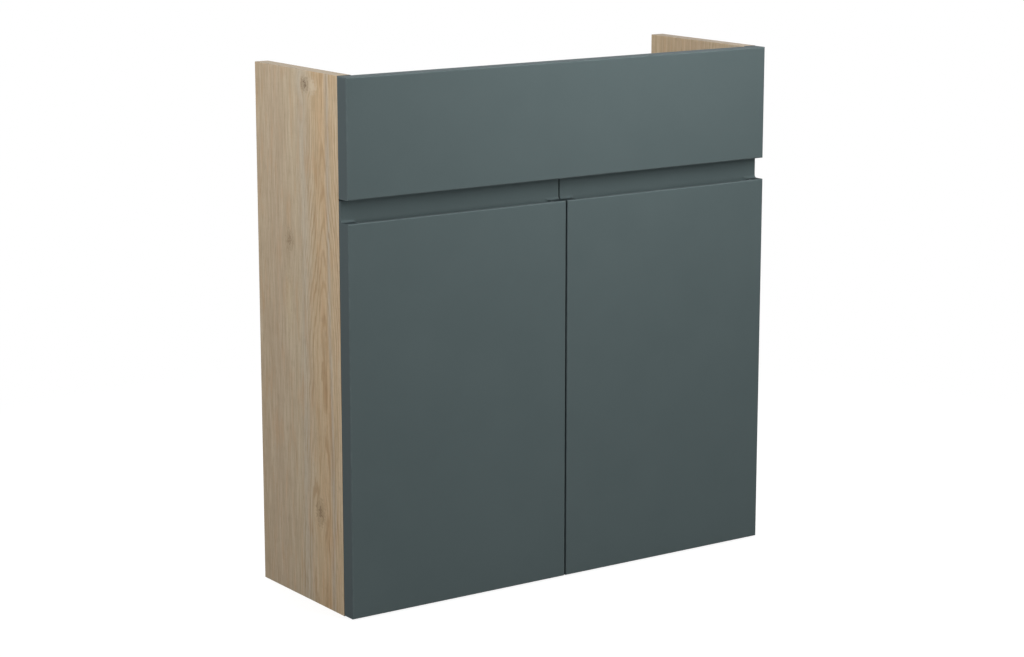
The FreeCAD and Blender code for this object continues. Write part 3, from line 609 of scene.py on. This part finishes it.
# %% Beech
FLECK_MM = (11.1, 0.714, 0.714)
beech, tree = new_material("turned_beech")
place = add(tree, "TexCoord", out="Object")
flecks = add(tree, "VectorMath", {0: place, 1: [MM_PER_M / side for side in FLECK_MM]},
             operation="MULTIPLY")
flecks = add(tree, "TexNoise", {"Vector": flecks, "Scale": 1.0, "Detail": 3.0}, "Fac")
share = add(tree, "MapRange", {0: flecks, 1: 0.45, 2: 0.75, 3: 0.0, 4: 1.0})
tone = add(tree, "Mix", {0: share, 6: linear("#DBBE93"), 7: linear("#B08C5E")}, 2, data_type="RGBA")
gloss = add(tree, "MapRange", {0: flecks, 3: 0.55, 4: 0.72})
bump = add(tree, "Bump", {"Strength": 0.3, "Distance": 0.0001, "Height": flecks})
shader = add(tree, "BsdfPrincipled", {"Base Color": tone, "Roughness": gloss, "Normal": bump})
add(tree, "OutputMaterial", {"Surface": shader})
print("dowels:", beech.name)

# %% Soft clear buffers
MILK_MM = 2.0
buffer, tree = new_material("clear_polyurethane_buffer")
place = add(tree, "TexCoord", out="Object")
milk = add(tree, "TexNoise", {"Vector": place, "Scale": MM_PER_M / MILK_MM, "Detail": 2.0}, "Fac")
tone = add(tree, "Mix", {0: milk, 6: linear("#E9EAE6"), 7: linear("#D4D6D2")}, 2, data_type="RGBA")
gloss = add(tree, "MapRange", {0: milk, 3: 0.30, 4: 0.45})
bump = add(tree, "Bump", {"Strength": 0.2, "Distance": 0.0001, "Height": milk})
shader = add(tree, "BsdfPrincipled", {"Base Color": tone, "Roughness": gloss, "Normal": bump,
                                      "IOR": 1.49, "Transmission Weight": 0.55})
add(tree, "OutputMaterial", {"Surface": shader})
print("buffers:", buffer.name)

# %% [markdown]
# ## Which piece has which finish
# Each piece keeps its mesh and its place, and only the material in its slot changes. A list of
# every piece would be long, so the first word of the list below that a piece's name holds decides.

# %% Put the materials on the pieces
finishes = {
    # small pieces first: a screw of the fascia is a screw
    "dowels": beech,
    "bumpers": buffer,
    "pegs": zinc,
    "screws": zinc,
    "pins": ground,
    "hinge": nickel,
    "side_panel": oak_upright,
    "bottom_panel": oak_flat,
    "shelf": oak_flat,
    "rail": oak_rail,
    **fronts,
}
used = {}
for node, piece in sorted(pieces.items()):
    finish = next(made for word, made in finishes.items() if word in node)
    for slot in piece.material_slots:
        slot.material = finish
    used.setdefault(finish.name, []).append(node)
for name, nodes in used.items():
    print(f"{name}: {len(nodes)}")

# %% [markdown]
# ## Floor and background
# The unit stands on a pale studio floor that runs into a white background. One white sheet could
# be lit until it is white, but that light would also wash out the unit. So the floor and the
# world are plain white only for what the camera, a mirror or glass sees, and stay a quiet grey
# for the light that bounces back onto the unit. Near the unit part of the floor's white is real
# light, so its shadow stays.

# %% The floor, a wide disc
FLOOR_RADIUS = 8.0
floor_mesh = bpy.data.meshes.new("studio_floor")
disc = bmesh.new()
bmesh.ops.create_circle(disc, cap_ends=True, segments=96, radius=FLOOR_RADIUS)
disc.to_mesh(floor_mesh)
disc.free()
floor = bpy.data.objects.new("studio_floor", floor_mesh)
scene.collection.objects.link(floor)
floor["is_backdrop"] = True
print("floor radius in m:", FLOOR_RADIUS)

# %% Paper on the floor
NEAR_M, FAR_M = 0.45, 1.15  # the floor turns from lit paper to plain white between these
NEAR_GLOW = 0.83
PAPER_TOOTH_MM = 16.7  # real tooth is under 1 mm; this is coarse enough to show


def seen_directly(tree):
    """One for the rays of the camera, of mirrors and of glass, zero for bounced light."""
    rays = [add(tree, "LightPath", out=kind)
            for kind in ("Is Camera Ray", "Is Glossy Ray", "Is Transmission Ray")]
    either = add(tree, "Math", {0: rays[0], 1: rays[1]}, operation="MAXIMUM")
    return add(tree, "Math", {0: either, 1: rays[2]}, operation="MAXIMUM")


paper, tree = new_material("matt_studio_paper")
place = add(tree, "TexCoord", out="Object")
away = add(tree, "VectorMath", {0: place}, 1, operation="LENGTH")
far = add(tree, "MapRange", {0: away, 1: NEAR_M, 2: FAR_M, 3: 0.0, 4: 1.0},
          interpolation_type="SMOOTHSTEP")
fibres = add(tree, "TexNoise", {"Vector": place, "Scale": MM_PER_M / PAPER_TOOTH_MM, "Detail": 3.0},
             "Fac")
tooth = add(tree, "Bump", {"Strength": 0.1, "Distance": 0.0002, "Height": fibres})
lit = add(tree, "BsdfDiffuse", {"Color": linear("#959595"), "Normal": tooth})
glow = add(tree, "Emission", {"Strength": NEAR_GLOW})
near_look = add(tree, "AddShader", {0: lit, 1: glow})
far_look = add(tree, "Emission", {"Strength": 1.0})
shown = add(tree, "MixShader", {0: far, 1: near_look, 2: far_look})
bounced = add(tree, "BsdfDiffuse", {"Color": linear("#7C7C7C"), "Normal": tooth})
either = add(tree, "MixShader", {0: seen_directly(tree), 1: bounced, 2: shown})
add(tree, "OutputMaterial", {"Surface": either})
floor_mesh.materials.append(paper)
print("floor:", paper.name)

# %% The world behind it
AMBIENT = 0.05
world = bpy.data.worlds.new("white_studio")
scene.world = world
tree = empty_graph(world)
strength = add(tree, "MapRange", {0: seen_directly(tree), 3: AMBIENT, 4: 1.0})
white = add(tree, "Background", {"Color": linear("#FFFFFF"), "Strength": strength})
add(tree, "OutputWorld", {"Surface": white})
print("ambient light:", AMBIENT)

# %% [markdown]
# ## Lamps
# Soft boxes stand where the photograph's shading says they stood. The fronts are brightest at
# their top right and fall off towards the floor, and the oak side does the same from the left, so
# both are lit from close above. Boxes further off reach in under the fascia: the farther and
# lower a lamp stands, the shorter the shadow that the fascia throws into the pull recess. Two
# more fill the right and the back. Their powers were set so that each colour renders about as it
# is written.

# %% Soft boxes
TARGET = Vector((0.0, -0.05, 0.35))
SOFT_BOXES = [
    # name, place in metres, side in metres, watts
    ("front_near_box", (0.15, -0.55, 1.02), 0.5, 3.7),
    ("front_far_box", (0.50, -1.80, 1.20), 0.4, 6.7),
    ("front_low_box", (-0.90, -2.60, 0.50), 1.0, 13.5),
    ("left_near_box", (-0.85, -0.10, 1.20), 0.6, 4.7),
    ("left_low_box", (-2.20, 0.20, 0.70), 1.0, 10.0),
    ("right_fill_box", (1.50, 0.10, 1.00), 1.0, 12.0),
    ("back_fill_box", (0.0, 1.60, 1.00), 1.0, 16.0),
]
for name, place, side, watts in SOFT_BOXES:
    lamp = bpy.data.objects.new(name, bpy.data.lights.new(name, "AREA"))
    lamp.data.size = side
    lamp.data.energy = watts
    lamp.location = place
    lamp.rotation_euler = (TARGET - Vector(place)).to_track_quat("-Z", "Y").to_euler()
    lamp.visible_camera = False
    lamp.visible_glossy = "fill" not in name
    scene.collection.objects.link(lamp)
    print(f"{name}: {watts} W, {(TARGET - Vector(place)).length:.2f} m away")

# %% [markdown]
# ## Size
# The dressed unit must be as large as its CAD model, so the last line prints by how much its
# box has grown along each axis.

# %% Compare the sizes
dressed_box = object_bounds()
grown_mm = [round(MM_PER_M * abs(dressed_box[1][k] - cad_box[1][k]), 2) for k in range(3)]
print("grown by, in mm:", grown_mm)
